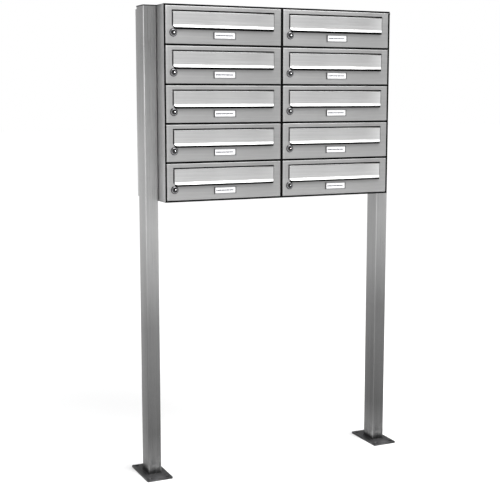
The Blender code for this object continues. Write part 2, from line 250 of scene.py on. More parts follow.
def bump(tree, shader, height, strength, distance):
    node = tree.nodes.new("ShaderNodeBump")
    node.inputs["Strength"].default_value = strength
    node.inputs["Distance"].default_value = distance
    tree.links.new(height, node.inputs["Height"])
    tree.links.new(node.outputs["Normal"], shader.inputs["Normal"])


def along_axis(tree, axis):
    coordinates = tree.nodes.new("ShaderNodeTexCoord")
    split = tree.nodes.new("ShaderNodeSeparateXYZ")
    tree.links.new(coordinates.outputs["Object"], split.inputs["Vector"])
    return split.outputs[axis]


def painted_lip_shadow(tree):
    """A factor for a door's metal, a painted shadow under its flap's lip: lowest right under the lip, and 1
    further down and to the sides.
    """
    lip_bottom = FLAP_LOW.z - (DOOR_LOW.z + DOOR_HIGH.z) / 2
    height = along_axis(tree, "Z")
    below = remap(tree, height, 0.0, 1.0, lip_bottom - LIP_SHADOW_HEIGHT, lip_bottom)
    below = calculate(tree, "POWER", below, LIP_SHADOW_CURVE)
    sideways = calculate(tree, "ABSOLUTE", along_axis(tree, "X"), 0.0)
    inside = remap(tree, sideways, 1.0, 0.0, FLAP_WIDTH / 2 - 8 * MM, FLAP_WIDTH / 2 + 2 * MM)
    above_lip = remap(tree, height, 1.0, 0.0, lip_bottom + 2 * MM, lip_bottom + 4 * MM)
    return calculate(tree, "SUBTRACT", 1.0, product(tree, below, inside, above_lip, LIP_SHADOW_DEPTH))


def painted_corner_highlights(tree):
    """A factor for a post's metal: a painted highlight that makes it lighter along its rounded corners."""
    across = calculate(tree, "ABSOLUTE", along_axis(tree, "X"), 0.0)
    along = calculate(tree, "ABSOLUTE", along_axis(tree, "Y"), 0.0)
    face_end = POST_HALF.x * (POST_HALF.y - POST_CORNER)
    return remap(tree, product(tree, across, along), 1.0, CORNER_HIGHLIGHT, face_end, face_end * 1.04)


def painted_left_face_light(steps):
    """A factor for the face on a post's left: painted light that makes that face lighter or darker than the
    front.

    Each step is (from height, to height, factor at from, factor at to)."""

    def factor(tree):
        edge = -POST_HALF.x + 1.0 * MM
        on_face = remap(tree, along_axis(tree, "X"), 1.0, 0.0, edge, edge + 1.0 * MM)
        height = along_axis(tree, "Z")
        value = 1.0
        for start, stop, first, last in steps:
            value = product(tree, value, remap(tree, height, first, last, start, stop))
        change = product(tree, on_face, calculate(tree, "SUBTRACT", value, 1.0))
        return calculate(tree, "ADD", 1.0, change)

    return factor


def scuffs(tree):
    """A factor for a post's metal: uneven near its foot, where it gets kicked and splashed, and 1 above."""
    marks = noise(tree, (70.0, 70.0, 45.0), detail=3.0, roughness=0.55, distortion=0.8)
    near_foot = remap(tree, along_axis(tree, "Z"), 1.0, 0.0, *SCUFF_HEIGHTS)
    return calculate(tree, "ADD", 1.0, product(tree, remap(tree, marks, -0.42, 0.42), near_foot))


def grain_scale(grain, along, across):
    """Frequencies for a noise that is drawn out along the grain's axis."""
    return tuple(along if axis == grain else across for axis in "XYZ")


def brushed_steel(name, colour, roughness, grain, streak=0.10, smudge=0.07, fades=(), extras=()):
    """Satin stainless steel: fine grain along one axis, broader bands, and faint handling marks.

    Each fade is (axis, from, to, factor at from, factor at to): how much lighter or darker the metal gets, as
    painted light or shade.
    Each of extras makes one more factor from the node tree."""
    material, tree, shader = new_principled(name, Metallic=1.0)
    fine = noise(tree, grain_scale(grain, 5.0, 900.0), detail=3.0, roughness=0.75)
    bands = noise(tree, grain_scale(grain, 2.0, 130.0), detail=3.0, roughness=0.6)
    cloud = noise(tree, (5.0, 5.0, 5.0), detail=5.0, roughness=0.55, distortion=0.6)
    factors = [
        remap(tree, fine, 1 - streak, 1 + streak),
        remap(tree, bands, 1 - streak / 2, 1 + streak / 2),
        remap(tree, cloud, 1 - smudge, 1 + smudge),
    ]
    for axis, start, stop, first, last in fades:
        factors.append(remap(tree, along_axis(tree, axis), first, last, start, stop))
    factors += [extra(tree) for extra in extras]
    rough = remap(tree, fine, roughness - 0.05, roughness + 0.05)
    rough = calculate(tree, "ADD", rough, remap(tree, cloud, -0.03, 0.03))
    paint(tree, shader, colour, product(tree, *factors), rough)
    bump(tree, shader, fine, 0.25, 0.02 * MM)
    return material


def spot(tree, place, radius, factor):
    """A factor that is highest within a third of the radius of a place, and 1 beyond the radius."""
    coordinates = tree.nodes.new("ShaderNodeTexCoord")
    away = tree.nodes.new("ShaderNodeVectorMath")
    away.operation = "DISTANCE"
    away.inputs[1].default_value = place
    tree.links.new(coordinates.outputs["Object"], away.inputs[0])
    return remap(tree, away.outputs["Value"], factor, 1.0, radius / 3, radius)


def coated_plate():
    """Dark coated steel plate: mottled and rubbed, with a painted reflection of the post that makes it
    lighter in front of the post.
    """
    material, tree, shader = new_principled("dark_plate", Metallic=0.75)
    mottle = noise(tree, (60.0, 60.0, 60.0), detail=6.0, roughness=0.65)
    rub = noise(tree, (14.0, 30.0, 20.0), detail=4.0, roughness=0.6, distortion=1.0)
    # A painted reflection of the post: lighter in front of it.
    painted_reflection = spot(tree, PLATE_REFLECTION_PLACE, PLATE_REFLECTION_RADIUS, 2.9)
    value = product(tree, remap(tree, mottle, 0.7, 1.35), remap(tree, rub, 0.75, 1.5), painted_reflection)
    paint(tree, shader, (0.042, 0.042, 0.043), value, remap(tree, mottle, 0.36, 0.56))
    bump(tree, shader, mottle, 0.35, 0.15 * MM)
    return material


def weld_metal():
    """Weld bead: dark oxide over bright metal."""
    material, tree, shader = new_principled("weld_metal", Metallic=0.9)
    oxide = noise(tree, (220.0, 220.0, 220.0), detail=5.0)
    paint(tree, shader, (0.05, 0.05, 0.05), remap(tree, oxide, 0.5, 1.8), remap(tree, oxide, 0.5, 0.7))
    bump(tree, shader, oxide, 0.4, 0.2 * MM)
    return material


def polymer(name, colour, roughness, **sockets):
    """Moulded plastic or rubber with a fine surface texture."""
    material, tree, shader = new_principled(name, **sockets)
    texture = noise(tree, (900.0,) * 3, detail=3.0)
    cloud = noise(tree, (18.0,) * 3, detail=4.0)
    rough = remap(tree, texture, roughness - 0.06, roughness + 0.06)
    paint(tree, shader, colour, remap(tree, cloud, 0.88, 1.12), rough)
    bump(tree, shader, texture, 0.2, 0.05 * MM)
    return material


def plated(name, colour, roughness):
    """Plated metal with the faint orange peel and wiping marks of real chrome."""
    material, tree, shader = new_principled(name, Metallic=1.0)
    peel = noise(tree, (300.0,) * 3, detail=2.0)
    marks = noise(tree, (90.0, 90.0, 40.0), detail=5.0, roughness=0.7)
    rough = remap(tree, marks, roughness * 0.7, roughness * 1.6)
    paint(tree, shader, colour, remap(tree, marks, 0.9, 1.06), rough)
    bump(tree, shader, peel, 0.08, 0.03 * MM)
    return material


def paper():
    """The uncoated card in a nameplate."""
    material, tree, shader = new_principled("card_paper", Specular_IOR_Level=0.3)
    fibre = noise(tree, (700.0, 700.0, 700.0), detail=4.0)
    paint(tree, shader, (0.74, 0.74, 0.75), remap(tree, fibre, 0.96, 1.02), remap(tree, fibre, 0.6, 0.75))
    return material


def clear_window():
    """Thin clear plastic in front of a card."""
    material, tree, shader = new_principled("clear_window", Alpha=0.06)
    haze = noise(tree, (120.0,) * 3, detail=4.0)
    shader.inputs["Base Color"].default_value = (0.95, 0.95, 0.95, 1.0)
    tree.links.new(remap(tree, haze, 0.05, 0.14), shader.inputs["Roughness"])
    return material


# Painted highlights on each door: lighter just below its top fold and along its left edge.
DOOR_PAINTED_HIGHLIGHTS = [
    ("Z", DOOR_SIZE.z / 2 - 4.5 * MM, DOOR_SIZE.z / 2 - 2.0 * MM, 1.0, 1.25),
    ("X", -DOOR_SIZE.x / 2 + 2.0 * MM, -DOOR_SIZE.x / 2 + 9.0 * MM, 1.15, 1.0),
]
DOOR_STEEL = brushed_steel("door_steel", (0.35, 0.35, 0.35), 0.47, "X", fades=DOOR_PAINTED_HIGHLIGHTS, extras=[painted_lip_shadow])
# Painted light on each flap: a painted highlight makes the lip lighter, and painted shade makes the rolled
# top edge darker.
FLAP_PAINTED_LIGHT = [
    ("Z", -LIP_DOWN - 2.5 * MM, -LIP_DOWN + 0.5 * MM, 1.6, 1.0),
    ("Z", -1.0 * MM, 1.5 * MM, 1.0, 0.3),
]
FLAP_STEEL = brushed_steel("flap_steel", (0.53, 0.53, 0.53), 0.40, "X", smudge=0.05, fades=FLAP_PAINTED_LIGHT)
CASE_STEEL = brushed_steel("cabinet_steel", (0.46, 0.46, 0.46), 0.30, "Z")
# Painted shade on the left side panel, a lighter copy of the casing steel: lightest near its front edge and
# darker further back towards the post.
SIDE_PAINTED_SHADE = [("Y", FACE_Y + 5 * MM, FACE_Y + 60 * MM, 1.7, 0.9)]
SIDE_STEEL_PAINTED_SHADE = brushed_steel("cabinet_steel_side_painted_shade", (0.56, 0.56, 0.56), 0.32, "Z", fades=SIDE_PAINTED_SHADE)
TOP_STEEL = brushed_steel("cabinet_steel_lengthwise", (0.32, 0.32, 0.32), 0.55, "X")
# Painted shade and a painted reflection, by height in metres: darker in the lower half and at the very top,
# lighter just above the foot where the base plate's reflection is painted, and dark right at the foot.
POST_PAINTED_LIGHT = [
    ("Z", 0.46, 0.76, 0.46, 1.0),
    ("Z", 0.14, 0.60, 0.52, 1.0),
    ("Z", 1.05, 1.40, 1.0, 0.74),
    ("Z", 0.03, 0.13, 1.55, 1.0),
    ("Z", 0.008, 0.022, 0.35, 1.0),
]


def post_steel_painted_light(side, colour, left_face_light_steps):
    extras = [scuffs, painted_corner_highlights, painted_left_face_light(left_face_light_steps)]
    return brushed_steel(f"post_steel_painted_light_{side}", (colour,) * 3, 0.30, "Z", 0.12, 0.04, POST_PAINTED_LIGHT, extras)


# Lit and shaded copies of one post steel: the right post's is darker, and each gets its own painted light on
# its left face.
POST_STEEL_PAINTED_LIGHT = {
    "left": post_steel_painted_light("left", 0.40, [(0.45, 0.90, 0.68, 0.90), (0.90, 1.35, 1.0, 1.65)]),
    "right": post_steel_painted_light("right", 0.35, [(0.45, 0.75, 1.15, 0.87)]),
}
ROD_STEEL = brushed_steel("bright_steel", (0.62, 0.62, 0.62), 0.25, "Z")
SHELF_STEEL = brushed_steel("shelf_steel", (0.46, 0.46, 0.46), 0.42, "X")
PLATE_COAT = coated_plate()
WELD = weld_metal()
CAP_PLASTIC = polymer("cap_plastic", (0.010, 0.010, 0.011), 0.55, Specular_IOR_Level=0.3)
RUBBER = polymer("trim_rubber", (0.002, 0.002, 0.002), 0.85, Specular_IOR_Level=0.04)
FRAME_PLASTIC = polymer("nameplate_rail", (0.20, 0.20, 0.205), 0.42)
END_PLASTIC = polymer("nameplate_end", (0.05, 0.05, 0.052), 0.45)
NYLON = polymer("nylon_bush", (0.03, 0.03, 0.031), 0.55)
CHROME = plated("lock_chrome", (0.19, 0.19, 0.195), 0.12)
PLUG_METAL = plated("lock_plug", (0.045, 0.045, 0.047), 0.2)
SHUTTER_METAL = plated("lock_shutter", (0.85, 0.85, 0.85), 0.16)
CAM_METAL = plated("lock_cam", (0.45, 0.45, 0.44), 0.30)
PAPER = paper()
PRINT_INK = polymer("print_grey", (0.012, 0.013, 0.035), 0.7)
WINDOW = clear_window()


# ---- mesh tools


def mesh_of(bm, name, material, sharp_angle=32):
    """A mesh with outward faces, smooth except where faces meet at more than the sharp angle."""
    bmesh.ops.recalc_face_normals(bm, faces=bm.faces)
    mesh = bpy.data.meshes.new(name)
    bm.to_mesh(mesh)
    bm.free()
    mesh.materials.append(material)
    mesh.shade_smooth()
    mesh.set_sharp_from_angle(angle=math.radians(sharp_angle))
    return mesh


def add_object(name, mesh, place=(0, 0, 0)):
    obj = bpy.data.objects.new(name, mesh)
    bpy.context.scene.collection.objects.link(obj)
    obj.location = place
    return obj


def add_box(bm, low, high):
    low, high = Vector(low), Vector(high)
    place = Matrix.Translation((low + high) / 2) @ Matrix.Diagonal((*(high - low), 1.0))
    return bmesh.ops.create_cube(bm, size=1.0, matrix=place)["verts"]


def edges_among(bm, verts, test):
    chosen = set(verts)
    return [edge for edge in bm.edges if set(edge.verts) <= chosen and test(edge)]


def runs_along(axis):
    def test(edge):
        direction = (edge.verts[1].co - edge.verts[0].co).normalized()
        return abs(direction[axis]) > 0.9

    return test


def round_edges(bm, edges, radius, segments=4):
    bmesh.ops.bevel(bm, geom=edges, offset=radius, segments=segments, profile=0.5, affect="EDGES")


def rounded_slab(bm, low, high, corner, axis=2, rim=0.0, segments=5):
    """A box whose edges along one axis are rounded, and whose other edges get a smaller rim."""
    verts = add_box(bm, low, high)
    before = set(bm.verts) - set(verts)
    round_edges(bm, edges_among(bm, verts, runs_along(axis)), corner, segments)
    if rim:
        fresh = [vert for vert in bm.verts if vert not in before]
        flat = edges_among(bm, fresh, lambda edge: not runs_along(axis)(edge) and is_rim(edge, axis))
        round_edges(bm, flat, rim, 2)


def is_rim(edge, axis):
    """True where an end face of the slab meets one of its sides."""
    if len(edge.link_faces) != 2:
        return False
    ends = [abs(face.normal[axis]) > 0.9 for face in edge.link_faces]
    return ends[0] != ends[1]


def lathe(bm, profile, steps=40, axis="Y", centre=(0, 0, 0)):
    """Turns a closed or axis-to-axis profile of (radius, height) once round an axis."""
    height_axis = {"Y": Vector((0, 1, 0)), "Z": Vector((0, 0, 1)), "X": Vector((1, 0, 0))}[axis]
    radius_axis = Vector((1, 0, 0)) if axis != "X" else Vector((0, 0, 1))
    centre = Vector(centre)
    verts = [bm.verts.new(centre + radius_axis * r + height_axis * h) for r, h in profile]
    edges = [bm.edges.new(pair) for pair in zip(verts, verts[1:])]
    closed = profile[0][0] > 1e-9 and profile[-1][0] > 1e-9
    if closed:
        edges.append(bm.edges.new((verts[-1], verts[0])))
    before = set(bm.verts) - set(verts)
    bmesh.ops.spin(
        bm, geom=verts + edges, cent=centre, axis=height_axis, angle=2 * math.pi, steps=steps
    )
    turned = [vert for vert in bm.verts if vert not in before]
    bmesh.ops.remove_doubles(bm, verts=turned, dist=0.002 * MM)


def cylinder(bm, radius, low, high, steps, axis="Y", centre=(0, 0, 0)):
    """A plain cylinder from one height to another along its axis."""
    lathe(bm, [(0, low), (radius, low), (radius, high), (0, high)], steps, axis, centre)


def lathed(name, material, profile, steps, axis="Y"):
    """A mesh made by one lathe."""
    bm = bmesh.new()
    lathe(bm, profile, steps, axis)
    return mesh_of(bm, name, material)


def slab_mesh(name, material, *slab):
    """A mesh made of one rounded slab."""
    bm = bmesh.new()
    rounded_slab(bm, *slab)
    return mesh_of(bm, name, material)


def hexagon(radius):
    """The six corners of a hexagon in a plane."""
    angles = [math.radians(60 * corner) for corner in range(6)]
    return [(radius * math.cos(angle), radius * math.sin(angle)) for angle in angles]


def upright(points):
    """Points (x, z) in the plane of a door's face."""
    return [(x, 0, z) for x, z in points]


def extrude_outline(bm, outline, start, along):
    """A closed outline of points, carried along a vector to make a solid."""
    face = bm.faces.new([bm.verts.new(Vector(start) + Vector(point)) for point in outline])
    made = bmesh.ops.extrude_face_region(bm, geom=[face])["geom"]
    moved = [item for item in made if isinstance(item, bmesh.types.BMVert)]
    bmesh.ops.translate(bm, verts=moved, vec=along)


def carved(mesh, cuts=(), joins=(), thickness=0.0, offset=-1, edge=0.0, segments=1, sharp_angle=32):
    """The mesh after an optional sheet thickness, its joins and cuts, and a slight rounding of what is left.

    The sheet's offset is -1 to thicken it inward, and 0 to thicken it on both sides."""
    obj = add_object("carving", mesh)
    helpers = []
    if thickness:
        solidify = obj.modifiers.new("thickness", "SOLIDIFY")
        solidify.thickness = thickness
        solidify.offset = offset
        solidify.use_even_offset = True
    for operation, shapes in (("UNION", joins), ("DIFFERENCE", cuts)):
        for shape in shapes:
            helper = add_object("helper", shape)
            helpers.append(helper)
            modifier = obj.modifiers.new(operation.lower(), "BOOLEAN")
            modifier.operation = operation
            modifier.object = helper
    if edge:
        bevel = obj.modifiers.new("edge", "BEVEL")
        bevel.width = edge
        bevel.segments = segments
        bevel.limit_method = "ANGLE"
        bevel.angle_limit = math.radians(60)
    bpy.context.view_layer.update()
    evaluated = obj.evaluated_get(bpy.context.evaluated_depsgraph_get())
    result = bpy.data.meshes.new_from_object(evaluated)
    result.name = mesh.name
    for helper in [obj, *helpers]:
        bpy.data.objects.remove(helper, do_unlink=True)
    result.shade_smooth()
    result.set_sharp_from_angle(angle=math.radians(sharp_angle))
    return result


def arc_points(centre, radius, start, turn, steps):
    """Points on an arc in a plane; angle 0 is along the first axis, and it grows towards the second."""
    return [
        (
            centre[0] + radius * math.cos(start + turn * step / steps),
            centre[1] + radius * math.sin(start + turn * step / steps),
        )
        for step in range(steps + 1)
    ]


# ---- doors


def door_pan():
    """The folded sheet of a door before its cuts: rounded front edges, returns and a hem."""
    half = Vector((DOOR_SIZE.x / 2, DOOR_RETURN / 2, DOOR_SIZE.z / 2))
    centre = Vector((0, DOOR_RETURN / 2, 0))
    bm = bmesh.new()
    verts = add_box(bm, centre - half, centre + half)
    rear = [face for face in bm.faces if face.calc_center_median().y > 0.9 * DOOR_RETURN]
    bmesh.ops.delete(bm, geom=rear, context="FACES_ONLY")
    open_edges = [edge for edge in bm.edges if edge.is_boundary]
    hem = bmesh.ops.extrude_edge_only(bm, edges=open_edges)["geom"]
    for vert in (item for item in hem if isinstance(item, bmesh.types.BMVert)):
        vert.co.x -= math.copysign(DOOR_HEM, vert.co.x)
        vert.co.z -= math.copysign(DOOR_HEM, vert.co.z)

    def in_front(edge):
        return all(vert.co.y < 0.1 * DOOR_RETURN for vert in edge.verts)

    round_edges(bm, edges_among(bm, verts, in_front), DOOR_FOLD, 5)
    return mesh_of(bm, "door_pan", DOOR_STEEL)


def slot_cut(middle_z):
    """The letter slot, around a door's middle at the given height."""
    slot_top = FLAP_HIGH.z + SLOT_ABOVE_FLAP - middle_z
    low = (-HALF_SLOT - SLOT_LEFT_EXTRA, -SHEET, slot_top - SLOT_HEIGHT)
    high = (HALF_SLOT - SLOT_RIGHT_FILL, 2 * SHEET, slot_top)
    return slab_mesh("slot", DOOR_STEEL, low, high, SLOT_CORNER, 1)


def lug_and_pin_hole(side, axis_y, axis_z):
    """The tab beside one end of the slot that carries the flap's pin, and the hole for the pin."""
    lug_x = side * (HALF_SLOT + SLOT_LEFT_EXTRA + LUG_GAP + SHEET / 2)
    low = (lug_x - SHEET / 2, SHEET / 2, axis_z - LUG_HEIGHT / 2)
    high = (lug_x + SHEET / 2, SHEET / 2 + LUG_DEPTH, axis_z + LUG_HEIGHT / 2)
    lug = slab_mesh("lug", DOOR_STEEL, low, high, LUG_CORNER, 0)
    hole = bmesh.new()
    span = 1.5 * SHEET
    cylinder(hole, PIN_RADIUS + 0.1 * MM, -span, span, 16, "X", (lug_x, axis_y, axis_z))
    return lug, mesh_of(hole, "pin_hole", DOOR_STEEL)


def door_mesh():
    """A door pan round the middle of its face, with the letter slot and its lugs."""
    pan = door_pan()
    door_middle = (DOOR_LOW + DOOR_HIGH) / 2
    slot = slot_cut(door_middle.z)
    lock = joint_place("lock_turn_01") - door_middle
    hole = bmesh.new()
    cylinder(hole, LOCK_HOLE, -SHEET, 2 * SHEET, 40, "Y", (lock.x, 0, lock.z))
    hinge = joint_place("door_hinge_01")
    rod = bmesh.new()
    rod_place = (hinge.x - door_middle.x, hinge.y - FACE_Y, 0)
    cylinder(rod, ROD_HOLE, -DOOR_SIZE.z, DOOR_SIZE.z, 20, "Z", rod_place)
    axis = joint_place("flap_hinge_01")
    pairs = [lug_and_pin_hole(side, axis.y - FACE_Y, axis.z - door_middle.z) for side in (-1, 1)]
    lugs, pin_holes = zip(*pairs)
    cuts = [slot, *(mesh_of(cut, "cut", DOOR_STEEL) for cut in (hole, rod)), *pin_holes]
    return carved(pan, cuts, lugs, thickness=SHEET, edge=0.15 * MM)


# ---- flaps


def flap_profile():
    """Down the middle of the flap's sheet, as (y, z) round its axis: rolled edge, face, lip."""
    curl = [
        (-CURL_RADIUS * math.cos(angle), -CURL_RADIUS * math.sin(angle))
        for angle in [-CURL_TURN * (1 - step / 18) for step in range(19)]
    ]
    face = [(-CURL_RADIUS, -LIP_DOWN * step / 6) for step in range(1, 6)]
    lip = [
        (-CURL_RADIUS - LIP_RADIUS + LIP_RADIUS * math.cos(angle), -LIP_DOWN - LIP_RADIUS * math.sin(angle))
        for angle in [LIP_TURN * step / 24 for step in range(25)]
    ]
    return curl + face + lip


def flap_mesh():
    """A flap round its axis. Seen from the front, the lip's two corners are rounded."""
    profile = flap_profile()
    bottom = min(z for y, z in profile)
    bm = bmesh.new()
    rows = []
    past_bottom = False
    for y, z in profile:
        past_bottom = past_bottom or z == bottom
        into_corner = LIP_CORNER if past_bottom else max(0.0, LIP_CORNER - (z - bottom))
        half = FLAP_WIDTH / 2 - LIP_CORNER + math.sqrt(LIP_CORNER**2 - into_corner**2)
        rows.append([bm.verts.new((x, y, z)) for x in (-half, -half * 0.5, 0, half * 0.5, half)])
    for upper, lower in zip(rows, rows[1:]):
        for index in range(len(upper) - 1):
            bm.faces.new((upper[index], upper[index + 1], lower[index + 1], lower[index]))
    sheet = mesh_of(bm, "flap", FLAP_STEEL)
    return carved(sheet, thickness=FLAP_SHEET, offset=0, edge=0.3 * MM, segments=2, sharp_angle=50)


def pin_mesh():
    """The flap's hinge pin with its two heads."""
    end = HALF_SLOT + SLOT_LEFT_EXTRA + LUG_GAP + SHEET + 0.4 * MM
    head, head_radius = 1.0 * MM, 2 * PIN_RADIUS
    half = [(PIN_RADIUS, end), (head_radius, end), (head_radius, end + 0.7 * head)]
    half += [(head_radius * 0.8, end + head), (0, end + head)]
    other_half = [(radius, -along) for radius, along in reversed(half)]
    return lathed("flap_pin", ROD_STEEL, other_half + half, 16, "X")


def bush_mesh():
    """The dark nylon bushes at the two ends of the flap's rolled edge."""
    inner, outer = 0.75 * MM, 1.9 * MM
    start, stop = FLAP_WIDTH / 2 + 0.2 * MM, HALF_SLOT + SLOT_LEFT_EXTRA
    bm = bmesh.new()
    for side in (-1, 1):
        low, high = sorted((side * start, side * stop))
        lathe(bm, [(inner, low), (outer, low), (outer, high), (inner, high)], 20, "X")
    return mesh_of(bm, "flap_bushes", NYLON)


def buffer_and_shadow_mesh():
    """The rubber strip below the slot that quietens the flap, round the flap's axis. It is made tall so that
    its black face also stands in for the shadow under the lip.
    """
    half = FLAP_WIDTH / 2 - 1.0 * MM
    face = FACE_Y - joint_place("flap_hinge_01").y
    top = -LIP_DOWN - LIP_RADIUS + 1.9 * MM
    low = (-half, face - BUFFER_THICK, top - SHADOW_BUFFER_HEIGHT)
    high = (half, face - 0.02 * MM, top)
    return slab_mesh("flap_buffer_and_shadow", RUBBER, low, high, 0.8 * MM, 1, 0.3 * MM)


# ---- locks


def lock_housing_mesh():
    """The fixed housing: a bezel in front of the door, highest round the plug, and a barrel behind it."""
    bore, crest, back, rise = 6.5 * MM, 7.5 * MM, -0.5 * MM, 3.0 * MM
    profile = [(bore, back), (bore, back - 0.8 * rise), (bore + 0.4 * MM, back - 0.97 * rise)]
    for step in range(13):
        angle = math.pi / 2 * step / 12
        radius = crest + (LOCK_RADIUS - crest) * math.sin(angle)
        profile.append((radius, back - rise * math.cos(angle)))
    profile += [(BARREL_RADIUS, back), (BARREL_RADIUS, BARREL_LENGTH), (bore, BARREL_LENGTH)]
    return lathed("lock_housing", CHROME, profile, 48)


def lock_washer_mesh():
    """The black rubber washer between the housing and the door."""
    inner, outer, back, front = 9.4 * MM, 11.6 * MM, -0.05 * MM, -0.5 * MM
    edge = 0.2 * MM
    profile = [(inner, back), (outer, back), (outer, front + edge), (outer - edge, front)]
    return lathed("lock_washer", RUBBER, profile + [(inner, front)], 48)


def lock_nut_mesh():
    """The hexagon nut that clamps the housing to the door's back."""
    low, high = 1.4 * MM, 5.0 * MM
    bm = bmesh.new()
    extrude_outline(bm, upright(hexagon(13.2 * MM)), (0, low, 0), (0, high - low, 0))
    nut = mesh_of(bm, "lock_nut", CAM_METAL)
    bore = bmesh.new()
    cylinder(bore, BARREL_RADIUS + 0.1 * MM, 0, 8 * MM, 40)
    return carved(nut, [mesh_of(bore, "bore", CAM_METAL)], edge=0.3 * MM)


def lock_plug_mesh():
    """The turning plug with its keyway, round the lock's axis."""
    back = CAM_BACK - 0.1 * MM
    angles = [math.pi / 2 * step / 8 for step in range(9)]
    face = [(PLUG_RADIUS * math.sin(angle), (-1.7 - 0.8 * math.cos(angle)) * MM) for angle in angles]
    plug = lathed("lock_plug", PLUG_METAL, face + [(PLUG_RADIUS, back), (0, back)], 40)
    low, high = (-1.5 * MM, -4.0 * MM, -4.0 * MM), (0.5 * MM, 4.0 * MM, 4.0 * MM)
    return carved(plug, [slab_mesh("keyway", RUBBER, low, high, 0.6 * MM, 1)], edge=0.15 * MM)


def lock_shutter_mesh():
    """The bright spring shutter beside the keyway. Its face leans back."""
    back, low, high = -1.6 * MM, -1.3 * MM, 2.1 * MM
    outline = [(0, back, low), (0, -3.4 * MM, low), (0, -2.1 * MM, high), (0, back, high)]
    bm = bmesh.new()
    extrude_outline(bm, outline, (0.8 * MM, 0, 0), (3.2 * MM, 0, 0))
    round_edges(bm, list(bm.edges), 0.3 * MM, 2)
    return mesh_of(bm, "lock_shutter", SHUTTER_METAL)


def lock_cam_mesh():
    """The cam with a round head and a blunt end, and its screw."""
    half, turn = CAM_WIDTH / 2, math.pi / 2
    corner_x, corner_z = half - CAM_CORNER, CAM_CORNER - CAM_REACH
    points = arc_points((0, 0), half, 0, math.pi, 16)
    points += arc_points((-corner_x, corner_z), CAM_CORNER, math.pi, turn, 6)
    points += arc_points((corner_x, corner_z), CAM_CORNER, -turn, turn, 6)
    bm = bmesh.new()
    extrude_outline(bm, upright(points), (0, CAM_BACK, 0), (0, CAM_THICK, 0))
    screw = ((0, 0), (3.2, 0), (3.0, 1.2), (1.8, 1.9), (0, 2.0))
    lathe(bm, [(radius * MM, CAM_BACK + CAM_THICK + out * MM) for radius, out in screw], 24, "Y")
    return mesh_of(bm, "lock_cam", CAM_METAL)


# ---- nameplates


def nameplate_rail_mesh(half_w, half_h, depth, pocket_back):
    """The holder, with a shallow pocket for the card."""
    low, high = (-half_w, -depth, -half_h), (half_w, 0, half_h)
    rail = slab_mesh("nameplate_rail", FRAME_PLASTIC, low, high, 1.2 * MM, 1, 0.4 * MM, 4)
    inside_w, inside_h = half_w - NAMEPLATE_RIM, half_h - NAMEPLATE_RIM
    low, high = (-inside_w, -2 * depth, -inside_h), (inside_w, -pocket_back, inside_h)
    return carved(rail, [slab_mesh("pocket", FRAME_PLASTIC, low, high, 0.5 * MM, 1)])


def nameplate_ends_mesh(half_w, half_h, depth):
    """The dark clips over the holder's two ends."""
    proud, top = 0.3 * MM, half_h + 0.1 * MM
    ends = bmesh.new()
    for side in (-1, 1):
        left, right = sorted((side * (half_w + proud), side * (half_w - NAMEPLATE_RIM)))
        low, high = (left, -depth - proud, -top), (right, -0.1 * MM, top)
        rounded_slab(ends, low, high, 0.6 * MM, 1, 0.3 * MM, 3)
    return mesh_of(ends, "nameplate_ends", END_PLASTIC)


def nameplate_sheet_mesh(name, half_w, half_h, front, back, material):
    """A flat sheet that fills the holder's pocket from front to back."""
    across, up = half_w - NAMEPLATE_RIM - CARD_GAP, half_h - NAMEPLATE_RIM - CARD_GAP
    bm = bmesh.new()
    add_box(bm, (-across, front, -up), (across, back, up))
    return mesh_of(bm, name, material)


def nameplate_print_mesh(half_w, card_front):
    """Plain bars in place of a name, each one (length, half height) in millimetres."""
    bars = bmesh.new()
    cursor = -half_w + PRINT_START
    for length, tall in ((3.2, 2.2), (12.0, 1.8), (15.0, 1.6), (9.0, 1.8), (13.0, 1.6)):
        end = cursor + length * MM
        add_box(bars, (cursor, card_front - 0.04 * MM, -tall * MM), (end, card_front + 0.01 * MM, tall * MM))
        cursor = end + PRINT_SPACE
    return mesh_of(bars, "nameplate_print", PRINT_INK)


def nameplate_meshes():
    """Rail, dark ends, card, printed bars and window of one nameplate, round the middle of its back."""
    low, high = node_box("nameplate_01")
    size = high - low
    half_w, half_h, depth = size.x / 2 - 1.0 * MM, size.z / 2 - 1.0 * MM, size.y
    pocket_back = depth - POCKET_DEPTH
    card_front = -pocket_back - CARD_THICK
    card_back = -pocket_back - 0.02 * MM
    window_back = card_front - 0.15 * MM
    window_front = window_back - WINDOW_THICK
    inside = half_w, half_h
    return {
        "nameplate_rail": nameplate_rail_mesh(half_w, half_h, depth, pocket_back),
        "nameplate_ends": nameplate_ends_mesh(half_w, half_h, depth),
        "nameplate_card": nameplate_sheet_mesh("nameplate_card", *inside, card_front, card_back, PAPER),
        "nameplate_print": nameplate_print_mesh(half_w, card_front),
        "nameplate_window": nameplate_sheet_mesh(
            "nameplate_window", *inside, window_front, window_back, WINDOW
        ),
    }


# ---- compartments


def ride(name, mesh, place, body, replaced=None):
    piece = add_object(name, mesh, place)
    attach(piece, body)
    if replaced:
        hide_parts(replaced)


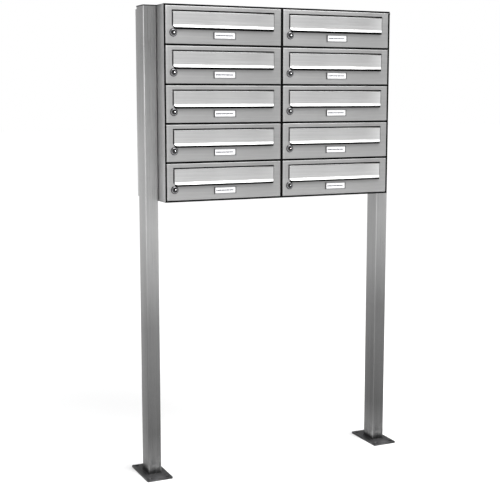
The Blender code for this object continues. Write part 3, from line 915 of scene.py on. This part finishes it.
def build_compartments():
    door, flap, pin, bushes, buffer = door_mesh(), flap_mesh(), pin_mesh(), bush_mesh(), buffer_and_shadow_mesh()
    housing, nut, plug, cam = lock_housing_mesh(), lock_nut_mesh(), lock_plug_mesh(), lock_cam_mesh()
    washer, shutter = lock_washer_mesh(), lock_shutter_mesh()
    plate = nameplate_meshes()
    for number in NUMBERS:
        low, high = node_box(f"door_{number}")
        face_middle = Vector(((low.x + high.x) / 2, low.y, (low.z + high.z) / 2))
        on_door, on_flap, on_lock = f"door_{number}", f"flap_{number}", f"lock_{number}"
        ride(f"door_skin_{number}", door, face_middle, on_door, f"door_{number}")
        axis = joint_place(f"flap_hinge_{number}")
        ride(f"flap_skin_{number}", flap, axis, on_flap, f"flap_{number}")
        ride(f"flap_pin_{number}", pin, axis, on_door)
        ride(f"flap_bushes_{number}", bushes, axis, on_door)
        ride(f"flap_buffer_and_shadow_{number}", buffer, axis, on_door)
        centre = joint_place(f"lock_turn_{number}")
        ride(f"lock_housing_{number}", housing, centre, on_door)
        ride(f"lock_washer_{number}", washer, centre, on_door)
        ride(f"lock_nut_{number}", nut, centre, on_door)
        ride(f"lock_plug_{number}", plug, centre, on_lock, f"lock_{number}")
        ride(f"lock_shutter_{number}", shutter, centre, on_lock)
        ride(f"lock_cam_{number}", cam, centre, on_lock)
        low, high = node_box(f"nameplate_{number}")
        back_middle = Vector(((low.x + high.x) / 2, high.y, (low.z + high.z) / 2))
        for part, mesh in plate.items():
            replaced = f"nameplate_{number}" if part == "nameplate_rail" else None
            ride(f"{part}_{number}", mesh, back_middle, on_door, replaced)


# ---- posts


def build_posts():
    """Both posts, each with its cap, base plate and weld."""
    for side in ("left", "right"):
        low, high = node_box(f"post_{side}")
        middle, half = (low + high) / 2, (high - low) / 2
        top = cad_high.z - CAP_THICK + 0.2 * MM
        bm = bmesh.new()
        verts = add_box(bm, (-half.x, -half.y, low.z), (half.x, half.y, top))
        ends = [face for face in bm.faces if abs(face.normal.z) > 0.9]
        bmesh.ops.delete(bm, geom=ends, context="FACES_ONLY")
        round_edges(bm, edges_among(bm, verts, runs_along(2)), POST_CORNER, 8)
        name = f"post_tube_{side}"
        tube = carved(mesh_of(bm, name, POST_STEEL_PAINTED_LIGHT[side]), thickness=POST_WALL)
        ride(name, tube, (middle.x, middle.y, 0), CABINET, f"post_{side}")
        build_cap(side, middle, half)
        build_plate(side, middle)
        build_weld(side, middle, half)


def build_cap(side, middle, half):
    """A plastic cap with a plug inside the post. It stands proud on every side but the cabinet's."""
    reach = half + Vector((CAP_OVERHANG, CAP_OVERHANG, 0))
    low, high = Vector((-reach.x, -reach.y, -CAP_THICK)), Vector((reach.x, reach.y, 0))
    clearance = CAP_OVERHANG - 0.2 * MM
    if side == "left":
        high.x -= clearance
    else:
        low.x += clearance
    bm = bmesh.new()
    rounded_slab(bm, low, high, POST_CORNER, 2, 0.8 * MM, 6)
    plug = half - Vector((POST_WALL + 0.3 * MM, POST_WALL + 0.3 * MM, 0))
    low = (-plug.x, -plug.y, -CAP_THICK - CAP_PLUG)
    rounded_slab(bm, low, (plug.x, plug.y, -CAP_THICK - 0.01 * MM), 2 * MM, 2)
    name = f"post_cap_skin_{side}"
    cap = mesh_of(bm, name, CAP_PLASTIC)
    ride(name, cap, (middle.x, middle.y, cad_high.z), CABINET, f"post_cap_{side}")


def build_plate(side, middle):
    """A base plate with four chamfered anchor holes."""
    low, high = node_box(f"base_plate_{side}")
    half, top = (high - low) / 2, high.z
    plate = bmesh.new()
    rounded_slab(plate, (-half.x, -half.y, 0), (half.x, half.y, top), 3 * MM, 2, 0.8 * MM)
    wide = ANCHOR_RADIUS + 2 * ANCHOR_CHAMFER
    profile = [(0, -1 * MM), (ANCHOR_RADIUS, -1 * MM), (ANCHOR_RADIUS, top - ANCHOR_CHAMFER)]
    profile += [(wide, top + ANCHOR_CHAMFER), (0, top + ANCHOR_CHAMFER)]
    holes = []
    for across in (-1, 1):
        for along in (-1, 1):
            centre = (across * (half.x - ANCHOR_INSET), along * (half.y - ANCHOR_INSET), 0)
            hole = bmesh.new()
            lathe(hole, profile, 32, "Z", centre)
            holes.append(mesh_of(hole, "anchor_hole", PLATE_COAT))
    name = f"foot_plate_{side}"
    mesh = carved(mesh_of(plate, name, PLATE_COAT), holes)
    ride(name, mesh, (middle.x, middle.y, 0), CABINET, f"base_plate_{side}")


def weld_path(half_x, half_y):
    """Evenly spaced points round the foot of a post with rounded corners."""
    x, y = half_x - POST_CORNER, half_y - POST_CORNER
    path = []
    for quarter, centre in enumerate(((x, y), (-x, y), (-x, -y), (x, -y))):
        path += arc_points(centre, POST_CORNER, quarter * math.pi / 2, math.pi / 2, 6)
    dense = []
    for (x0, y0), (x1, y1) in zip(path, path[1:] + path[:1]):
        steps = max(1, round(math.hypot(x1 - x0, y1 - y0) / BEAD_STEP))
        dense += [(x0 + (x1 - x0) * i / steps, y0 + (y1 - y0) * i / steps) for i in range(steps)]
    return dense


def weld_bead(bm, path, height):
    """A rippled bead along a closed path."""
    rings = []
    for index, (x, y) in enumerate(path):
        before, after = path[index - 1], path[(index + 1) % len(path)]
        tangent = Vector((after[0] - before[0], after[1] - before[1], 0)).normalized()
        outward = Vector((tangent.y, -tangent.x, 0))
        radius = BEAD_RADIUS * (0.9 + 0.10 * math.sin(index * 2.1) + 0.06 * math.sin(index * 0.37))
        ring = []
        for step in range(BEAD_SIDES):
            angle = 2 * math.pi * step / BEAD_SIDES
            offset = outward * (radius * math.cos(angle)) + Vector((0, 0, radius * 0.8 * math.sin(angle)))
            ring.append(bm.verts.new(Vector((x, y, height)) + offset))
        rings.append(ring)
    for ring, following in zip(rings, rings[1:] + rings[:1]):
        for step in range(BEAD_SIDES):
            after = (step + 1) % BEAD_SIDES
            bm.faces.new((ring[step], ring[after], following[after], following[step]))


def build_weld(side, middle, half):
    """The weld bead between a post and its base plate."""
    top = node_box(f"base_plate_{side}")[1].z
    bm = bmesh.new()
    weld_bead(bm, weld_path(half.x + 0.3 * MM, half.y + 0.3 * MM), top + 0.4 * MM)
    name = f"foot_weld_{side}"
    ride(name, mesh_of(bm, name, WELD, 60), (middle.x, middle.y, 0), CABINET)


# ---- cabinet


def trim_leg(across, sheet):
    """One leg of a trim from its root to its nose. A leg outside the casing is thin and short."""
    if abs(across - sheet) < 0.5 * MM:
        return [(sheet, FACE_Y + 1.9 * MM), (across, FACE_Y + 1.9 * MM)]
    inner = across - math.copysign(0.6 * MM, across - sheet)
    back, shoulder = FACE_Y + 8.0 * MM, FACE_Y + 1.1 * MM
    return [(sheet, back), (inner, back), (inner, shoulder), (across, shoulder)]


def trim_outline(across_low, across_high, sheet_low, sheet_high):
    """A channel of rubber over a sheet's front edge, as (across, back) points. Its nose is rounded."""
    nose, root = FACE_Y - 0.3 * MM, FACE_Y + 1.45 * MM
    corner = 0.7 * MM
    points = trim_leg(across_low, sheet_low)
    points += arc_points((across_low + corner, nose + corner), corner, math.pi, math.pi / 2, 5)
    points += arc_points((across_high - corner, nose + corner), corner, -math.pi / 2, math.pi / 2, 5)
    points += reversed(trim_leg(across_high, sheet_high))
    return points + [(sheet_high, root), (sheet_low, root)]


def trim(name, along_x, at, start, stop, across, sheet):
    """One strip of edge trim. along_x strips lie at height `at`; the others stand at x = `at`."""
    outline = trim_outline(across[0], across[1], sheet[0], sheet[1])
    bm = bmesh.new()
    if along_x:
        points = [(0, back, offset) for offset, back in outline]
        extrude_outline(bm, points, (start, 0, at), (stop - start, 0, 0))
    else:
        points = [(offset, back, 0) for offset, back in outline]
        extrude_outline(bm, points, (at, 0, start), (0, 0, stop - start))
    ride(name, mesh_of(bm, name, RUBBER), (0, 0, 0), CABINET)


def build_trims():
    """Black trim over the front edges of the casing, the shelves and the divider."""
    top_low, top_high = node_box("top_panel")
    floor = node_box("bottom_panel")[1].z
    left, right = node_box("side_panel_left")[1].x, node_box("side_panel_right")[0].x
    sheet = CASE_SHEET + TRIM_LOOSE
    ahead = ((-TRIM_INSIDE, sheet + TRIM_OUTSIDE), (-TRIM_LOOSE, sheet))
    behind = ((-sheet - TRIM_OUTSIDE, TRIM_INSIDE), (-sheet, TRIM_LOOSE))
    along = (top_low.x - TRIM_OUTSIDE, top_high.x + TRIM_OUTSIDE)
    upright_span = (floor + TRIM_INSIDE, top_low.z - TRIM_INSIDE)
    trim("trim_top", True, top_low.z, *along, *ahead)
    trim("trim_bottom", True, floor, *along, *behind)
    trim("trim_left", False, left, *upright_span, *behind)
    trim("trim_right", False, right, *upright_span, *ahead)
    divider_low, divider_high = node_box("centre_divider")
    half = (divider_high.x - divider_low.x) / 2 + TRIM_LOOSE
    middle = (-MIDDLE_TRIM_HALF, MIDDLE_TRIM_HALF)
    trim("trim_middle", False, 0.0, *upright_span, middle, (-half, half))
    row_span = (-ROW_TRIM_HALF, ROW_TRIM_HALF)
    for row in range(1, 5):
        low, high = node_box(f"shelf_{row}")
        half = (high.z - low.z) / 2 + TRIM_LOOSE
        for side, start, stop in (
            ("left", left + TRIM_INSIDE, -MIDDLE_TRIM_HALF),
            ("right", MIDDLE_TRIM_HALF, right - TRIM_INSIDE),
        ):
            name = f"trim_shelf_{row}_{side}"
            trim(name, True, (low.z + high.z) / 2, start, stop, row_span, (-half, half))


def rivet_heads(bm, places, normal, radius=3.2 * MM, height=1.3 * MM):
    """Domed rivet heads standing on a surface."""
    turn = Vector((0, 0, 1)).rotation_difference(Vector(normal)).to_matrix().to_4x4()
    angles = [math.pi / 2 * step / 6 for step in range(6)]
    dome = [(radius * math.cos(angle), height * math.sin(angle)) for angle in angles]
    for place in places:
        head = bmesh.new()
        lathe(head, [(0, -0.3 * MM), (radius, -0.3 * MM), *dome, (0, height)], 20, "Z")
        head.transform(Matrix.Translation(place) @ turn)
        mesh = bpy.data.meshes.new("rivet")
        head.to_mesh(mesh)
        head.free()
        bm.from_mesh(mesh)
        bpy.data.meshes.remove(mesh)


def build_rivets():
    """Rivets round the back panel, and where the shelves and the divider meet it."""
    low, high = node_box("back_panel")
    size = high - low
    last_row, last_column = RIVET_ROWS - 1, RIVET_COLUMNS - 1
    places = []
    for row in range(RIVET_ROWS):
        z = low.z + RIVET_INSET + (size.z - 2 * RIVET_INSET) * row / last_row
        for column in range(RIVET_COLUMNS):
            if 0 < row < last_row and column not in (0, last_column // 2, last_column):
                continue
            x = low.x + RIVET_INSET + (size.x - 2 * RIVET_INSET) * column / last_column
            places.append((x, high.y, z))
    bm = bmesh.new()
    rivet_heads(bm, places, (0, 1, 0))
    ride("back_rivets", mesh_of(bm, "back_rivets", ROD_STEEL, 50), (0, 0, 0), CABINET)


def build_bolts():
    """The bolts from the casing into the posts, each with its washer."""
    post_low, post_high = node_box("post_left")
    bolt_y = (post_low.y + post_high.y) / 2
    washer, head = 1.5 * MM, 5.0 * MM
    for side, inner, normal in (
        ("left", node_box("side_panel_left")[1].x, 1),
        ("right", node_box("side_panel_right")[0].x, -1),
    ):
        bm = bmesh.new()
        for number in ("01", "05", "09"):
            low, high = node_box(f"door_{number}")
            z = (low.z + high.z) / 2
            cylinder(bm, 8 * MM, 0, washer * normal, 28, "X", (inner, bolt_y, z))
            corners = [(0, across, up) for across, up in hexagon(6.5 * MM)]
            extrude_outline(bm, corners, (inner + normal * washer, bolt_y, z), (normal * head, 0, 0))
        name = f"post_bolts_{side}"
        ride(name, mesh_of(bm, name, ROD_STEEL), (0, 0, 0), CABINET)


def dress_frame_nodes():
    """Materials and rounded edges for the CAD nodes that stay visible."""
    finishes = {
        "top_panel": TOP_STEEL, "bottom_panel": TOP_STEEL, "back_panel": CASE_STEEL,
        "side_panel_left": SIDE_STEEL_PAINTED_SHADE, "side_panel_right": CASE_STEEL, "centre_divider": CASE_STEEL,
        "hinge_rod_left": ROD_STEEL, "hinge_rod_right": ROD_STEEL,
        "strike_bar_left": CASE_STEEL, "strike_bar_right": CASE_STEEL,
    }
    finishes.update({f"shelf_{row}": SHELF_STEEL for row in range(1, 5)})
    for node, material in finishes.items():
        obj = frame["nodes"][node]
        obj.data.materials.clear()
        obj.data.materials.append(material)
        if "panel" in node:
            bevel = obj.modifiers.new("edge", "BEVEL")
            bevel.width = 0.5 * MM
            bevel.segments = 3
            bevel.limit_method = "ANGLE"


# ---- stage


def build_stage():
    """The pale floor."""
    bm = bmesh.new()
    bmesh.ops.create_grid(bm, x_segments=1, y_segments=1, size=30.0)
    material, tree, shader = new_principled("floor_paper", Roughness=0.9)
    soft = noise(tree, (3.0, 3.0, 3.0), detail=2.0)
    paint(tree, shader, (0.96, 0.96, 0.96), remap(tree, soft, 0.99, 1.0), None)
    add_object("floor", mesh_of(bm, "floor", material))


def area_light(name, place, target, size, power):
    data = bpy.data.lights.new(name, "AREA")
    data.shape = "RECTANGLE"
    data.size, data.size_y = size
    data.energy = power
    lamp = bpy.data.objects.new(name, data)
    bpy.context.scene.collection.objects.link(lamp)
    lamp.location = place
    lamp.rotation_euler = (Vector(target) - Vector(place)).to_track_quat("-Z", "Y").to_euler()


def build_world():
    """White behind the unit, and a softer grey all round it for the metal to reflect."""
    world = bpy.data.worlds.new("studio")
    world.use_nodes = True
    tree = world.node_tree
    background = tree.nodes["Background"]
    rays = tree.nodes.new("ShaderNodeLightPath")
    strength = tree.nodes.new("ShaderNodeMapRange")
    strength.inputs["To Min"].default_value = 0.50
    strength.inputs["To Max"].default_value = 1.0
    tree.links.new(rays.outputs["Is Camera Ray"], strength.inputs["Value"])
    tree.links.new(strength.outputs["Result"], background.inputs["Strength"])
    background.inputs["Color"].default_value = (1.0, 1.0, 1.0, 1.0)
    bpy.context.scene.world = world


def build_lights():
    build_world()
    data = bpy.data.lights.new("ceiling", "SUN")
    data.energy = 2.3
    data.angle = math.radians(50)
    ceiling = bpy.data.objects.new("ceiling", data)
    bpy.context.scene.collection.objects.link(ceiling)
    ceiling.rotation_euler = (math.radians(28), math.radians(12), 0)
    centre = (0, 0, 1.0)
    area_light("overhead", (0.9, -2.0, 3.2), centre, (2.6, 1.4), 60)
    area_light("key", (-2.4, -2.2, 2.6), centre, (0.9, 0.9), 22)
    area_light("edge_strip", (-3.0, -1.7, 1.4), (-0.4, 0, 1.1), (0.5, 2.0), 12)
    area_light("fill", (3.0, -1.6, 1.3), centre, (0.8, 2.0), 8)


def build_camera():
    data = bpy.data.cameras.new("camera")
    data.lens = CAMERA_LENS
    data.sensor_width = 36.0
    data.shift_y = CAMERA_SHIFT
    camera = bpy.data.objects.new("camera", data)
    bpy.context.scene.collection.objects.link(camera)
    camera.location = CAMERA_PLACE
    camera.rotation_euler = (math.pi / 2 - CAMERA_PITCH, 0, -CAMERA_YAW)
    bpy.context.scene.camera = camera


bpy.context.scene.view_settings.view_transform = "Standard"
build_camera()
build_compartments()
build_posts()
build_trims()
build_rivets()
build_bolts()
dress_frame_nodes()
build_stage()
build_lights()
